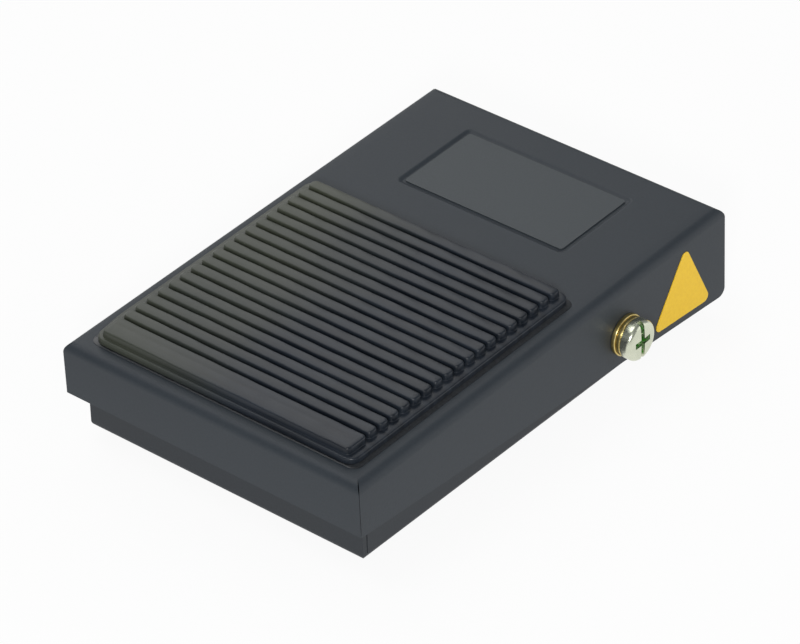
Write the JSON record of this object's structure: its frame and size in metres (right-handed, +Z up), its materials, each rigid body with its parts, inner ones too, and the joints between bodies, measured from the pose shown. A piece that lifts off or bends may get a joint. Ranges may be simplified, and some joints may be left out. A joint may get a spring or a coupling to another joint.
{
  "type": "foot switch",
  "caption": "Low folded-steel foot switch: ribbed rubber tread on a hinged cover that presses a snap-action switch in a base tray, with rear cable inlet and side earth screw.",
  "frame": {"origin": "middle of the four fixing holes, on the underside of the base tray", "axes": "+X to the right, +Y towards the hinge and the cable inlet, +Z up out of the tread"},
  "size_m": [0.0733, 0.1042, 0.0244],
  "materials": {
    "black_powder_coat": "fine matt powder coat",
    "black_rubber": "moulded",
    "tread_rubber": "moulded, satin",
    "zinc_plate": "bright zinc plate",
    "nickel_plate": "nickel plate",
    "yellow_zinc": "yellow passivated zinc",
    "spring_steel": "drawn",
    "brass": "stamped",
    "silver_contact": "satin",
    "phenolic": "moulded",
    "plunger_plastic": "moulded",
    "fish_paper": "pressed sheet",
    "adhesive_tape": "foam tape",
    "label_film": "satin, blank",
    "sticker_film": "satin, blank"
  },
  "bodies": {
    "base": {"base_tray": "black_powder_coat", "rubber_feet": "black_rubber", "cable_grommet": "black_rubber", "hinge_pins": "zinc_plate", "hinge_clips": "spring_steel", "stop_buffers": "black_rubber", "lower_spring_seats": "zinc_plate", "return_springs": "spring_steel", "insulating_sheet": "fish_paper", "switch_case": "phenolic", "switch_lid": "phenolic", "switch_screws": "zinc_plate", "common_terminal": "brass", "open_terminal": "brass", "closed_terminal": "brass", "fixed_contacts": "silver_contact", "lever_pin": "spring_steel"},
    "cover": {"cover_shell": "black_powder_coat", "hinge_bracket": "zinc_plate", "striker": "zinc_plate", "upper_spring_seats": "zinc_plate", "tread_pad": "tread_rubber", "pad_adhesive": "adhesive_tape", "label_plate": "label_film", "side_sticker": "sticker_film", "earth_screw": "nickel_plate", "earth_spring_washer": "yellow_zinc", "earth_flat_washer": "yellow_zinc", "earth_nut": "zinc_plate"},
    "lever": {"switch_lever": "spring_steel"},
    "plunger": {"switch_plunger": "plunger_plastic"},
    "blade": {"contact_blade": "brass", "moving_contact": "silver_contact"}
  },
  "joints": [
    {"name": "cover_hinge", "type": "hinge", "parent": "base", "child": "cover", "pos_m": [0, 0.04125, 0.0055], "axis": [1, 0, 0], "range_deg": [0, 3], "stiffness_Nm_per_rad": 4, "springref_deg": -6.88, "deforming": ["return_springs"]},
    {"name": "lever_pivot", "type": "hinge", "parent": "base", "child": "lever", "pos_m": [-0.0145, -0.0022, 0.00655], "axis": [0, 0, 1], "range_deg": [0, 3.4]},
    {"name": "plunger_slide", "type": "slide", "parent": "base", "child": "plunger", "axis": [0, 1, 0], "range_m": [0, 0.0006]},
    {"name": "blade_pivot", "type": "hinge", "parent": "base", "child": "blade", "pos_m": [-0.0144, 0.00237, 0.00655], "axis": [0, 0, 1], "range_deg": [0, 3.5]}
  ],
  "couplings": [
    {"joint": "lever_pivot", "follows": "cover_hinge", "ratio": 1.1},
    {"joint": "plunger_slide", "follows": "cover_hinge", "m_per_rad": 0.00935},
    {"joint": "blade_pivot", "follows": "cover_hinge", "ratio": 1.13}
  ]
}
